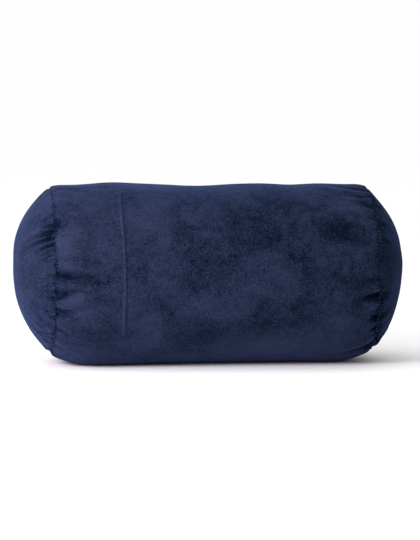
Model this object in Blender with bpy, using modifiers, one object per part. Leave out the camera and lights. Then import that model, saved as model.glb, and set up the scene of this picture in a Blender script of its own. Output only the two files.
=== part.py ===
"""A stuffed cylindrical neck pillow in a removable zipped cover.

The pillow lies on its side along X and rests on the plane z = 0. Metres, +Z up.
A rectangular panel is rolled into the tube and a round panel is sewn into each end.
The tube's long edges meet at a coil zip on the back. Inside lies a plain inner pillow:
a thin lining bag around one block of fibre filling.
"""

import math

import bmesh
import bpy
from mathutils import Matrix

# Driving dimensions
SEAM_HALF = 0.150  # from the middle of the pillow to each end seam: a panel 300 mm long
BODY_R = 0.086  # radius of the filled tube
BODY_Z = 0.082  # height of the tube's axis: the lowest 4 mm are pressed flat by the weight
SEAM_R = 0.0765  # radius of the end seams
SEAM_Z = 0.0868  # height of the end seams' centre
SHOULDER = 0.024  # length over which the tube narrows towards each end seam
DOME_DEPTH = 0.0335  # how far an end panel bulges past its seam
DOME_POWER = 1.6  # below 2 the dome has straighter, more conical flanks than an ellipse
FABRIC = 0.0015  # thickness of the cover fabric
SEAM_ALLOWANCE = 0.008  # turned-in edge of each cover panel at an end seam
SEAM_GAP = 0.0018  # space between the turned-in edges, which holds the sewing thread
THREAD_R = 0.0006  # radius of the thread of an end seam
THREAD_DEPTH = 0.0014  # how far the end seam's thread lies below the fabric's fold

# Inner pillow
LINER_R = 0.081  # outer radius of the lining bag
LINER_BASE = 0.0022  # height of the lining's flat underside
LINER_HALF = 0.1455  # from the middle to the lining's own end seams
LINER_END_R = 0.066
LINER_END_Z = 0.0866
LINER_END_DEPTH = 0.028
LINER_END_POWER = 2.0
LINER_FABRIC = 0.0008
LINER_GAP = 0.0005  # between the lining tube's edge and its end panels
FILL_R = 0.0795
FILL_HALF = 0.166
FILL_BASE = 0.0035
FILL_SQUARENESS = 0.5  # 1 gives an ellipse, smaller values a fuller barrel
CLOSING_SEAM_SIZE = (0.1, 0.0008, 0.0006)
CLOSING_SEAM_LIFT = 0.0004

# Zip. Heights are measured outwards from the tube's surface, so inner layers are negative.
ZIP_RISE = math.radians(20)  # the zip lies this far above the middle of the back
SLOT_HALF = 0.1143  # half the length of the opening, which takes a 9 inch zip
SLOT_EDGE = 0.007  # from the zip's centre line to each hemmed edge of the cover
TAPE_HALF = 0.118
TAPE_INNER = 0.0006  # from the centre line to a tape's woven edge
TAPE_OUTER = 0.0156
TAPE_TOP = -0.0023
TAPE_THICKNESS = 0.0006
COIL_OUTER = 0.0034
COIL_LOW = -0.0020
COIL_HIGH = 0.0002
STOP_LENGTH = 0.0022
STOP_OUTER = 0.0036
STOP_HIGH = 0.0011
STOP_X = 0.111  # from the middle to the near face of the top and bottom stops
COIL_BEVEL = 0.0006
STOP_BEVEL = 0.0005
TOUCH = 0.0003  # gap kept between pieces that touch
STITCH_Y = 0.0095
STITCH_SIZE = 0.0005
STITCH_LOW = -0.0002

# Slider and pull tab
SLIDER_HALF = 0.0065
PLATE_HALF_WIDTH = 0.0050
PLATE_LOW = 0.0006
PLATE_HIGH = 0.0015
PLATE_CORNER_R = 0.0018
FLANGE = 0.0009
FLANGE_LOW = -0.0010
FLANGE_INSET = 0.0015  # from each end of the slider to the ends of its flanges
FLANGE_STEP = 0.0001  # how far a flange's outer face stays inside the plate's edge
NECK_X = (0.0015, 0.0055)
NECK_HALF_WIDTH = 0.0003
UNDER_PLATE_HIGH = -0.0035
UNDER_PLATE_LOW = -0.0043
ARCH_HALF = 0.0032
ARCH_SHOULDER = 0.0022
ARCH_TOP = 0.0039
ARCH_R = 0.0005
PIVOT_HEIGHT = 0.0025
PIVOT_R = 0.0006
TAB_LENGTH = 0.024
TAB_HALF_WIDTH = 0.0035
TAB_NECK_HALF_WIDTH = 0.0027
TAB_WINDOW_END = 0.0052
TAB_TAPER = 0.002  # length over which the tab widens past its window
TAB_WINDOW_HALF_WIDTH = 0.0012
TAB_HOLE_R = 0.0016
TAB_BEVEL = 0.00025
SLIDER_X = STOP_X - TOUCH - SLIDER_HALF  # the slider's place when the zip is closed

# Care label, sewn in beside the upper tape
LABEL_X = (-0.085, -0.055)
LABEL_Y = (-0.046, -0.0162)
LABEL_TOP = -0.0028
LABEL_THICKNESS = 0.0004

AROUND = 40  # facets around the cover
AROUND_LINER = 32
AROUND_TAB_END = 6  # facets in a quarter of the tab's round end
AROUND_TAB_HOLE = 16
COVER_END_STEPS = 6  # facets from the middle of an end panel to its rim
LINER_END_STEPS = 5
FILL_STEPS = 18
STRIP_STEPS = 4
SHOULDER_STEPS = (0.35, 0.6, 0.8, 0.92, 1.0)
QUARTER_TURN = math.pi / 2
MERGE = 0.00001
SHARP_ANGLE = math.radians(35)
BEVEL_ANGLE = math.radians(40)

COLOURS = {  # colour, roughness, metallic
    "cover": ((0.030, 0.037, 0.085), 0.95, 0.0),
    "thread": ((0.020, 0.025, 0.055), 0.8, 0.0),
    "zip_tape": ((0.018, 0.022, 0.050), 0.9, 0.0),
    "zip_coil": ((0.015, 0.018, 0.045), 0.45, 0.0),
    "zip_metal": ((0.20, 0.20, 0.22), 0.35, 1.0),
    "label": ((0.80, 0.79, 0.76), 0.6, 0.0),
    "lining": ((0.75, 0.74, 0.70), 0.9, 0.0),
    "filling": ((0.88, 0.88, 0.86), 1.0, 0.0),
}


def clear_scene():
    for obj in list(bpy.data.objects):
        bpy.data.objects.remove(obj)


def make_collection(name):
    collection = bpy.data.collections.new(name)
    bpy.context.scene.collection.children.link(collection)
    return collection


def make_material(name):
    colour, roughness, metallic = COLOURS[name]
    material = bpy.data.materials.new(name)
    material.use_nodes = True
    shader = material.node_tree.nodes["Principled BSDF"]
    shader.inputs["Base Color"].default_value = (*colour, 1.0)
    shader.inputs["Roughness"].default_value = roughness
    shader.inputs["Metallic"].default_value = metallic
    return material


clear_scene()
PILLOW = make_collection("neck_pillow")
CUTTERS = make_collection("cutters")
MATERIALS = {name: make_material(name) for name in COLOURS}


def finish_object(name, bm, material, parent=None):
    """Turns a bmesh into a smooth-shaded part in the pillow's collection."""
    mesh = bpy.data.meshes.new(name)
    bmesh.ops.recalc_face_normals(bm, faces=bm.faces)
    bm.to_mesh(mesh)
    bm.free()
    mesh.shade_smooth()
    mesh.set_sharp_from_angle(angle=SHARP_ANGLE)
    mesh.materials.append(MATERIALS[material])
    obj = bpy.data.objects.new(name, mesh)
    obj.parent = parent
    PILLOW.objects.link(obj)
    return obj


def add_thickness(obj, thickness):
    """Solidify inwards from the modelled outer surface."""
    solidify = obj.modifiers.new("fabric", "SOLIDIFY")
    solidify.thickness = thickness
    solidify.offset = -1.0
    solidify.use_even_offset = True


def add_bevel(obj, width, segments=1):
    bevel = obj.modifiers.new("rounded", "BEVEL")
    bevel.width = width
    bevel.segments = segments
    bevel.limit_method = "ANGLE"
    bevel.angle_limit = BEVEL_ANGLE


# The pillow's own outline


def shoulder_share(x, start):
    """0 along the straight tube, rising to 1 at an end seam."""
    return max(0.0, min(1.0, (abs(x) - start) / SHOULDER)) ** 2


def cover_ring(x):
    """(radius, height of the centre) of the cover's outer surface at x."""
    share = shoulder_share(x, SEAM_HALF - SHOULDER)
    radius = BODY_R + (SEAM_R - BODY_R) * share
    centre = BODY_Z + (SEAM_Z - BODY_Z) * share
    return radius, centre


def liner_ring(x):
    """(radius, height of the centre) of the lining tube's outer surface at x."""
    share = shoulder_share(x, LINER_HALF - SHOULDER)
    radius = LINER_R + (LINER_END_R - LINER_R) * share
    centre = BODY_Z + (LINER_END_Z - BODY_Z) * share
    return radius, centre


def on_ring(x, angle, radius, centre, base):
    """A point of a ring about X, flattened where it would go below the base."""
    return (x, radius * math.cos(angle), max(base, centre + radius * math.sin(angle)))


def wrapped_tube(stations, angles, base):
    """A grid plane rolled round X into a tube. Each station is (x, radius, centre height)."""
    bm = bmesh.new()
    columns = len(stations) - 1
    rows = len(angles) - 1
    bmesh.ops.create_grid(bm, x_segments=columns, y_segments=rows, size=1.0)
    for vert in bm.verts:
        column = round((vert.co.x + 1) / 2 * columns)
        row = round((vert.co.y + 1) / 2 * rows)
        x, radius, centre = stations[column]
        vert.co = on_ring(x, angles[row], radius, centre, base)
    bmesh.ops.remove_doubles(bm, verts=bm.verts, dist=MERGE)
    return bm


def shoulder_stations(half):
    """Distances from the middle at which the narrowing end of a tube is sampled."""
    start = half - SHOULDER
    return [start] + [start + SHOULDER * step for step in SHOULDER_STEPS]


def both_ways(stations):
    """Mirrors stations given from the middle outwards into one list from end to end."""
    left = [(-x, radius, centre) for x, radius, centre in reversed(stations)]
    return left + stations


# Cover


def make_cover_wrap():
    """The rolled panel: open along the zip, with its ends turned in at the end seams."""
    fold_x = SEAM_HALF - SEAM_GAP / 2
    stations = [(x, *cover_ring(x)) for x in (SLOT_HALF, *shoulder_stations(SEAM_HALF)[:-1])]
    stations.append((fold_x, SEAM_R, SEAM_Z))
    stations.append((fold_x, SEAM_R - SEAM_ALLOWANCE, SEAM_Z))
    slot_angle = SLOT_EDGE / BODY_R
    turn = 2 * math.pi - 2 * slot_angle
    start = ZIP_RISE + slot_angle
    angles = [start + turn * i / AROUND for i in range(AROUND + 1)]
    angles.append(start + 2 * math.pi)
    bm = wrapped_tube(both_ways(stations), angles, 0.0)
    slot_faces = [face for face in bm.faces if is_in_slot(face)]
    bmesh.ops.delete(bm, geom=slot_faces, context="FACES")
    obj = finish_object("cover_wrap", bm, "cover")
    add_thickness(obj, FABRIC)


def is_in_slot(face):
    """True for the faces between the zip's two hemmed edges."""
    middle = face.calc_center_median()
    angle = math.atan2(middle.z - BODY_Z, middle.y)
    return abs(middle.x) < SLOT_HALF and abs(angle - ZIP_RISE) < SLOT_EDGE / BODY_R


def turned_dome(name, profile, steps, thickness, material, side, x, z):
    """A profile of (radius, height) turned round its own axis, facing along -X or +X."""
    bm = bmesh.new()
    verts = [bm.verts.new((radius, 0.0, height)) for radius, height in profile]
    for first, second in zip(verts, verts[1:]):
        bm.edges.new((first, second))
    obj = finish_object(name, bm, material)
    obj.location = (x, 0.0, z)
    obj.rotation_euler = (0.0, side * QUARTER_TURN, 0.0)
    screw = obj.modifiers.new("turn", "SCREW")
    screw.steps = steps
    screw.render_steps = steps
    screw.use_merge_vertices = True
    screw.merge_threshold = MERGE
    add_thickness(obj, thickness)


def dome_profile(radius, depth, power, count):
    """Points of a superellipse quarter from its top on the axis down to its rim."""
    points = []
    for i in range(count + 1):
        angle = QUARTER_TURN * i / count
        across = radius * math.sin(angle) ** (2 / power)
        height = depth * max(0.0, math.cos(angle)) ** (2 / power)
        points.append((across, height))
    return points


def make_cover_end(name, side):
    """A domed round panel with its edge turned in at the seam."""
    rim = SEAM_GAP / 2
    points = dome_profile(SEAM_R, DOME_DEPTH - rim, DOME_POWER, COVER_END_STEPS)
    profile = [(radius, height + rim) for radius, height in points]
    profile.append((SEAM_R - SEAM_ALLOWANCE, rim))
    turned_dome(name, profile, AROUND, FABRIC, "cover", side, side * SEAM_HALF, SEAM_Z)


def make_end_seam_thread(name, side):
    """The lockstitch that closes an end seam, as one ring in the valley of the seam."""
    bpy.ops.mesh.primitive_torus_add(
        major_segments=AROUND,
        minor_segments=4,
        major_radius=SEAM_R - THREAD_DEPTH,
        minor_radius=THREAD_R,
        location=(side * SEAM_HALF, 0.0, SEAM_Z),
        rotation=(0.0, QUARTER_TURN, 0.0),
    )
    adopt(bpy.context.object, name, "thread")


def adopt(obj, name, material):
    """Moves an object made by an operator into the pillow's collection."""
    obj.name = name
    obj.data.name = name
    obj.data.materials.append(MATERIALS[material])
    for collection in list(obj.users_collection):
        collection.objects.unlink(obj)
    PILLOW.objects.link(obj)
    return obj


# Zip, modelled flat: X along the chain, Z outwards from the tube's axis, -Y upwards


def make_zip_frame():
    """An empty on the tube's axis, turned so that its Z points out through the zip."""
    empty = bpy.data.objects.new("zip_frame", None)
    empty.location = (0.0, 0.0, BODY_Z)
    empty.rotation_euler = (ZIP_RISE - QUARTER_TURN, 0.0, 0.0)
    PILLOW.objects.link(empty)
    return empty


def box_bmesh(low, high):
    """A box between two corners, given as heights from the tube's surface."""
    bm = bmesh.new()
    bmesh.ops.create_cube(bm, size=1.0)
    size = [b - a for a, b in zip(low, high)]
    centre = [(a + b) / 2 for a, b in zip(low, high)]
    centre[2] += BODY_R
    bmesh.ops.scale(bm, vec=size, verts=bm.verts)
    bmesh.ops.translate(bm, vec=centre, verts=bm.verts)
    return bm


def make_bar(name, low, high, material, parent, bevel=0.0):
    obj = finish_object(name, box_bmesh(low, high), material, parent)
    if bevel:
        add_bevel(obj, bevel)
    return obj


def make_curved_strip(name, x_range, y_range, top, thickness, material, parent):
    """A strip of cloth that follows the tube's curve below its surface."""
    bm = bmesh.new()
    bmesh.ops.create_grid(bm, x_segments=1, y_segments=STRIP_STEPS, size=1.0)
    radius = BODY_R + top
    for vert in bm.verts:
        x = x_range[0] if vert.co.x < 0 else x_range[1]
        share = (vert.co.y + 1) / 2
        y = y_range[0] + (y_range[1] - y_range[0]) * share
        vert.co = (x, y, math.sqrt(radius**2 - y**2))
    obj = finish_object(name, bm, material, parent)
    if obj.data.polygons[0].normal.z < 0:
        obj.data.flip_normals()
    add_thickness(obj, thickness)
    return obj


def make_zip_half(word, side, parent):
    """One tape with its row of coil, its top stop and the stitching that holds it."""
    tape_y = sorted((side * TAPE_INNER, side * TAPE_OUTER))
    make_curved_strip(
        f"zip_tape_{word}",
        (-TAPE_HALF, TAPE_HALF),
        tape_y,
        TAPE_TOP,
        TAPE_THICKNESS,
        "zip_tape",
        parent,
    )
    coil_y = sorted((side * TAPE_INNER, side * COIL_OUTER))
    coil_x = STOP_X - TOUCH
    low = (-coil_x, coil_y[0], COIL_LOW)
    high = (coil_x, coil_y[1], COIL_HIGH)
    make_bar(f"zip_coil_{word}", low, high, "zip_coil", parent, bevel=COIL_BEVEL)
    stop_y = sorted((side * TAPE_INNER, side * STOP_OUTER))
    low = (STOP_X, stop_y[0], COIL_LOW)
    high = (STOP_X + STOP_LENGTH, stop_y[1], STOP_HIGH)
    make_bar(f"zip_top_stop_{word}", low, high, "zip_metal", parent, bevel=STOP_BEVEL)
    stitch_y = sorted((side * STITCH_Y, side * (STITCH_Y + STITCH_SIZE)))
    low = (-SLOT_HALF, stitch_y[0], STITCH_LOW)
    high = (SLOT_HALF, stitch_y[1], STITCH_LOW + STITCH_SIZE)
    make_bar(f"zip_stitch_{word}", low, high, "thread", parent)


def join_union(name, bodies, material, parent):
    """One solid from several overlapping bodies, by Boolean unions."""
    base = finish_object(name, bodies[0], material, parent)
    for i, body in enumerate(bodies[1:]):
        cutter = finish_object(f"{name}_piece_{i}", body, material, parent)
        PILLOW.objects.unlink(cutter)
        CUTTERS.objects.link(cutter)
        cutter.hide_render = True
        cutter.display_type = "WIRE"
        union = base.modifiers.new(f"join_{i}", "BOOLEAN")
        union.operation = "UNION"
        union.object = cutter
    return base


def arch_bmesh():
    """The slider's loop: a round wire bent over the plate, which carries the tab."""
    route = [
        (-ARCH_HALF, (PLATE_LOW + PLATE_HIGH) / 2),
        (-ARCH_HALF, ARCH_TOP - (ARCH_HALF - ARCH_SHOULDER)),
        (-ARCH_SHOULDER, ARCH_TOP),
        (ARCH_SHOULDER, ARCH_TOP),
        (ARCH_HALF, ARCH_TOP - (ARCH_HALF - ARCH_SHOULDER)),
        (ARCH_HALF, (PLATE_LOW + PLATE_HIGH) / 2),
    ]
    curve = bpy.data.curves.new("arch", "CURVE")
    curve.dimensions = "3D"
    curve.bevel_depth = ARCH_R
    curve.bevel_resolution = 2
    curve.use_fill_caps = True
    spline = curve.splines.new("POLY")
    spline.points.add(len(route) - 1)
    for point, (x, height) in zip(spline.points, route):
        point.co = (x, 0.0, BODY_R + height, 1.0)
    wire = bpy.data.objects.new("arch_wire", curve)
    CUTTERS.objects.link(wire)
    graph = bpy.context.evaluated_depsgraph_get()
    mesh = bpy.data.meshes.new_from_object(wire.evaluated_get(graph))
    bm = bmesh.new()
    bm.from_mesh(mesh)
    bmesh.ops.remove_doubles(bm, verts=bm.verts, dist=MERGE)
    bpy.data.objects.remove(wire)
    return bm


def make_slider(parent):
    """A plate over the chain and one under the tapes, joined by a thin neck between them."""
    half, width = SLIDER_HALF, PLATE_HALF_WIDTH
    overlap = (PLATE_HIGH - PLATE_LOW) / 2
    plate = box_bmesh((-half, -width, PLATE_LOW), (half, width, PLATE_HIGH))
    edges = [edge for edge in plate.edges if abs(edge.verts[0].co.z - edge.verts[1].co.z) > overlap]
    bmesh.ops.bevel(plate, geom=edges, offset=PLATE_CORNER_R, segments=3, affect="EDGES", profile=0.5)
    bodies = [plate]
    for side in (-1, 1):
        flange_y = sorted((side * (width - FLANGE), side * (width - FLANGE_STEP)))
        low = (-half + FLANGE_INSET, flange_y[0], FLANGE_LOW)
        high = (half - FLANGE_INSET, flange_y[1], PLATE_LOW + overlap)
        bodies.append(box_bmesh(low, high))
    neck_low = (NECK_X[0], -NECK_HALF_WIDTH, UNDER_PLATE_HIGH - overlap)
    neck_high = (NECK_X[1], NECK_HALF_WIDTH, PLATE_LOW + overlap)
    bodies.append(box_bmesh(neck_low, neck_high))
    under_low = (-half, -width + FLANGE / 2, UNDER_PLATE_LOW)
    under_high = (half, width - FLANGE / 2, UNDER_PLATE_HIGH)
    bodies.append(box_bmesh(under_low, under_high))
    bodies.append(arch_bmesh())
    for body in bodies:
        bmesh.ops.translate(body, vec=(0.0, 0.0, -BODY_R), verts=body.verts)
    slider = join_union("zip_slider", bodies, "zip_metal", parent)
    for obj in (slider, *[o for o in CUTTERS.objects if o.parent is parent]):
        obj.location = (SLIDER_X, 0.0, BODY_R)


def tab_outline():
    """Half outline of the pull tab from its pivot to its round end, as (distance, half width)."""
    points = [(-PIVOT_R, TAB_NECK_HALF_WIDTH), (TAB_WINDOW_END, TAB_NECK_HALF_WIDTH)]
    points.append((TAB_WINDOW_END + TAB_TAPER, TAB_HALF_WIDTH))
    centre = TAB_LENGTH - TAB_HALF_WIDTH
    for i in range(AROUND_TAB_END + 1):
        angle = QUARTER_TURN * i / AROUND_TAB_END
        along = centre + TAB_HALF_WIDTH * math.sin(angle)
        points.append((along, TAB_HALF_WIDTH * math.cos(angle)))
    return points


def hole_points(centre, radius, count):
    turn = 2 * math.pi / count
    return [(centre + radius * math.cos(turn * i), radius * math.sin(turn * i)) for i in range(count)]


def make_pull_tab(parent):
    """A flat tab hung on the slider's loop by the bar at its near end. It lies towards -X."""
    half = tab_outline()
    outline = [(-along, width) for along, width in half]
    outline += [(-along, -width) for along, width in reversed(half) if width > MERGE]
    window = [
        (-PIVOT_R, TAB_WINDOW_HALF_WIDTH),
        (-TAB_WINDOW_END, TAB_WINDOW_HALF_WIDTH),
        (-TAB_WINDOW_END, -TAB_WINDOW_HALF_WIDTH),
        (-PIVOT_R, -TAB_WINDOW_HALF_WIDTH),
    ]
    hole = hole_points(-(TAB_LENGTH - TAB_HALF_WIDTH), TAB_HOLE_R, AROUND_TAB_HOLE)
    curve = bpy.data.curves.new("tab", "CURVE")
    curve.dimensions = "2D"
    curve.fill_mode = "BOTH"
    curve.extrude = PIVOT_R
    for loop in (outline, window, hole):
        spline = curve.splines.new("POLY")
        spline.points.add(len(loop) - 1)
        spline.use_cyclic_u = True
        for point, (x, y) in zip(spline.points, loop):
            point.co = (x, y, 0.0, 1.0)
    flat = bpy.data.objects.new("tab_curve", curve)
    CUTTERS.objects.link(flat)
    graph = bpy.context.evaluated_depsgraph_get()
    mesh = bpy.data.meshes.new_from_object(flat.evaluated_get(graph))
    bm = bmesh.new()
    bm.from_mesh(mesh)
    bmesh.ops.remove_doubles(bm, verts=bm.verts, dist=MERGE)
    bpy.data.objects.remove(flat)
    tab = finish_object("zip_pull_tab", bm, "zip_metal", parent)
    tab.location = (SLIDER_X, 0.0, BODY_R + PIVOT_HEIGHT)
    add_bevel(tab, TAB_BEVEL)


def make_zip():
    frame = make_zip_frame()
    make_zip_half("upper", -1, frame)
    make_zip_half("lower", 1, frame)
    low = (-STOP_X - STOP_LENGTH, -STOP_OUTER, COIL_LOW)
    high = (-STOP_X, STOP_OUTER, STOP_HIGH)
    make_bar("zip_bottom_stop", low, high, "zip_metal", frame, bevel=STOP_BEVEL)
    make_slider(frame)
    make_pull_tab(frame)
    make_curved_strip("care_label", LABEL_X, LABEL_Y, LABEL_TOP, LABEL_THICKNESS, "label", frame)


# Inner pillow


def make_liner_wrap():
    stations = [(x, *liner_ring(x)) for x in shoulder_stations(LINER_HALF)]
    angles = [2 * math.pi * i / AROUND_LINER for i in range(AROUND_LINER + 1)]
    bm = wrapped_tube(both_ways(stations), angles, LINER_BASE)
    obj = finish_object("liner_wrap", bm, "lining")
    add_thickness(obj, LINER_FABRIC)


def make_liner_end(name, side):
    profile = dome_profile(LINER_END_R, LINER_END_DEPTH, LINER_END_POWER, LINER_END_STEPS)
    x = side * (LINER_HALF + LINER_GAP)
    turned_dome(name, profile, AROUND_LINER, LINER_FABRIC, "lining", side, x, LINER_END_Z)


def make_liner_closing_seam():
    """The line of stitches on top of the lining, where the filling was put in."""
    length, width, height = CLOSING_SEAM_SIZE
    bm = bmesh.new()
    bmesh.ops.create_cube(bm, size=1.0)
    bmesh.ops.scale(bm, vec=(length, width, height), verts=bm.verts)
    obj = finish_object("liner_closing_seam", bm, "thread")
    obj.location = (0.0, 0.0, BODY_Z + LINER_R + CLOSING_SEAM_LIFT + height / 2)


def make_fill():
    """The fibre filling: a sphere stretched into a barrel and flattened underneath."""
    bm = bmesh.new()
    bmesh.ops.create_uvsphere(bm, u_segments=AROUND_LINER, v_segments=FILL_STEPS, radius=1.0)
    bmesh.ops.rotate(bm, matrix=Matrix.Rotation(QUARTER_TURN, 3, "Y"), verts=bm.verts)
    for vert in bm.verts:
        along = max(-1.0, min(1.0, vert.co.x))
        ring = math.sqrt(max(0.0, 1 - along**2))
        angle = math.atan2(vert.co.z, vert.co.y)
        x = FILL_HALF * math.copysign(abs(along) ** FILL_SQUARENESS, along)
        radius = FILL_R * ring**FILL_SQUARENESS
        centre = liner_ring(x)[1]
        vert.co = on_ring(x, angle, radius, centre, FILL_BASE)
    finish_object("fibre_filling", bm, "filling")


make_cover_wrap()
make_cover_end("cover_end_left", -1)
make_cover_end("cover_end_right", 1)
make_end_seam_thread("end_seam_thread_left", -1)
make_end_seam_thread("end_seam_thread_right", 1)
make_zip()
make_liner_wrap()
make_liner_end("liner_end_left", -1)
make_liner_end("liner_end_right", 1)
make_liner_closing_seam()
make_fill()
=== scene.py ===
"""The looks of a cylindrical neck pillow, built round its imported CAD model.

The cover is a smooth form with folds begun at both ends. A short cloth simulation, with the
flat-cut panels as its rest shape, loosens them, and its small offsets are kept. Sharper folds,
stitches, creases and the zip are then added.
Everything is in metres in the CAD's own frame: X along the pillow, +Y to its back, +Z up.
Angles round the pillow are measured from the middle of its back, upwards: 90 degrees is the
top and 180 degrees the middle of the front.
"""

import math

import bmesh
import bpy
import numpy as np
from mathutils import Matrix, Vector


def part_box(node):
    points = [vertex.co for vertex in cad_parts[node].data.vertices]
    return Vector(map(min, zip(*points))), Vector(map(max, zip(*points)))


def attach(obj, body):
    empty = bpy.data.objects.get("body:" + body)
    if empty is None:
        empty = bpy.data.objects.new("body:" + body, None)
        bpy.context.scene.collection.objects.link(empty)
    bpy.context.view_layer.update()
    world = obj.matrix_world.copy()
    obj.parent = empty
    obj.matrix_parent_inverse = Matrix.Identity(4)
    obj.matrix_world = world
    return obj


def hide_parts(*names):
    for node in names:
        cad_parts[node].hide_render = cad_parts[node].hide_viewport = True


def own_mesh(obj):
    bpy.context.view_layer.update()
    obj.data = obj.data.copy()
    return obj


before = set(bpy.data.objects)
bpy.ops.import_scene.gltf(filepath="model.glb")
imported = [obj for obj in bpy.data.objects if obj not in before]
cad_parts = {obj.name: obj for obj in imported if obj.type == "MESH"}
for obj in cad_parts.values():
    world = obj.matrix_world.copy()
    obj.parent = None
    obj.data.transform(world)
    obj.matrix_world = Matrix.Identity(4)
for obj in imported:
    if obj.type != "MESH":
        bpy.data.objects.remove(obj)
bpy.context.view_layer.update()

MM = 0.001

# Main dimensions. All but SEAM_R are the CAD model's own.
thread_low, thread_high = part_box("end_seam_thread_right")
SEAM_X = (thread_low[0] + thread_high[0]) / 2
SEAM_Z = (thread_low[2] + thread_high[2]) / 2
SEAM_R = 0.0780  # 1.5 mm more than in the CAD
BODY_R = 0.086
BODY_Z = 0.082
ZIP_ANGLE = math.radians(20)
SLOT_HALF = 0.1143

# The cut of the cover's panels
PANEL_HALF = 0.1525  # half the tube panel's length
PANEL_R = 0.086  # radius of the flat end panels, and of the tube panel when it is rolled up
HEM = 0.0055  # turned-in edge beyond each sewn fold
FOLD_R = 0.0017  # how tightly the fabric turns in at a seam
CLOTH = 0.0008  # thickness of the fabric
ZIP_FOLD = 0.0056  # from the zip's centre line to each folded edge of the cover
CLOSED_FOLD = 0.00002  # the same, where the long edges are sewn together past the zip's ends
STITCH_PITCH = 0.0034

# Facets of the simulated cloth
SIM_AROUND = 144
SIM_ALONG = 84
SIM_RINGS = 22
SIM_CORE = 3  # rings nearest an end panel's middle that are left to one fan of triangles
SIM_SCALE = 10.0  # the solver's fixed tolerances suit a model ten times as large
SIM_FRAMES = 10
FOLD_GAIN = 0.6  # share of each fold that is added again to what the simulation leaves of it

LEFT, RIGHT = -1, 1
DOME_DEPTH = {LEFT: 0.0335, RIGHT: 0.0315}
DOME_POWER = {LEFT: 2.6, RIGHT: 2.45}
DOME_LIFT = {LEFT: 0.0045, RIGHT: 0.001}  # how far each end's middle is pushed up
BELLY = {LEFT: 0.0014, RIGHT: 0.0030}  # how far its lower part sags out past the dome
SHOULDER = 0.026  # length over which the tube narrows to an end seam, at the front and back
SHOULDER_LEAN = 0.011  # how much less that is at the top, and more at the underside


# Small helpers


def smooth_step(value, low, high):
    t = np.clip((value - low) / (high - low), 0.0, 1.0)
    return t * t * (3 - 2 * t)


def wrap_angle(angle):
    """The same angle, between -pi and pi."""
    return (angle + np.pi) % (2 * np.pi) - np.pi


def ring_angles(count):
    return 2 * np.pi * np.arange(count) / count


def unit(vectors):
    """The vectors scaled to a length of 1."""
    return vectors / np.maximum(np.linalg.norm(vectors, axis=-1, keepdims=True), 1e-12)


def bspline_weights(t):
    """Weights of four neighbours in a uniform cubic B-spline."""
    return (
        (1 - t) ** 3 / 6,
        (3 * t**3 - 6 * t**2 + 4) / 6,
        (-3 * t**3 + 3 * t**2 + 3 * t + 1) / 6,
        t**3 / 6,
    )


def sample(grid, row, column):
    """A smooth value of grid[row, column, :] between its points. Columns go round and round."""
    rows, columns = grid.shape[:2]
    first, last = 2 * grid[:1] - grid[1:2], 2 * grid[-1:] - grid[-2:-1]
    padded = np.concatenate([first, grid, last])
    row = np.clip(row, 0, rows - 1)
    i = np.minimum(row.astype(int), rows - 2)
    j = np.floor(column).astype(int)
    total = np.zeros((len(row), grid.shape[2]))
    row_weights = bspline_weights(row - i)
    column_weights = bspline_weights(column - j)
    for a in range(4):
        for b in range(4):
            weight = row_weights[a] * column_weights[b]
            total += weight[:, None] * padded[i + a, (j - 1 + b) % columns]
    return total


def new_object(name, data):
    obj = bpy.data.objects.new(name, data)
    bpy.context.scene.collection.objects.link(obj)
    return obj


def new_mesh(name, points, faces):
    mesh = bpy.data.meshes.new(name)
    mesh.from_pydata(points.tolist(), [], faces)
    mesh.shade_smooth()
    return mesh


# Overall form


def dome_height(end, radius):
    """How far an end panel stands past its seam, at a distance from its middle."""
    return DOME_DEPTH[end] * (1 - np.clip(radius / SEAM_R, 0, 1) ** DOME_POWER[end])


def dome_table(end):
    """(distance along the cloth from the middle, radius) over an end panel, for interpolation."""
    radius = np.linspace(0, SEAM_R, 200)
    steps = np.hypot(np.diff(radius), np.diff(dome_height(end, radius)))
    along = np.concatenate([[0], np.cumsum(steps)])
    return along * PANEL_R / along[-1], radius


DOME_TABLES = {end: dome_table(end) for end in (LEFT, RIGHT)}


def shoulder_share(x, angle):
    """0 along the straight tube, 1 at an end seam. The underside narrows over a longer way."""
    length = SHOULDER - SHOULDER_LEAN * np.sin(angle)
    return np.clip((np.abs(x) - SEAM_X) / length + 1, 0, 1) ** 2


def tube_form(s, angle):
    """(x, radius, height of the centre) on the smooth tube. s is measured on the flat panel."""
    x = s * SEAM_X / PANEL_HALF
    share = shoulder_share(x, angle)
    radius = BODY_R + (SEAM_R - BODY_R) * share
    centre = BODY_Z + (SEAM_Z - BODY_Z) * share
    return x, radius, centre


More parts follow.
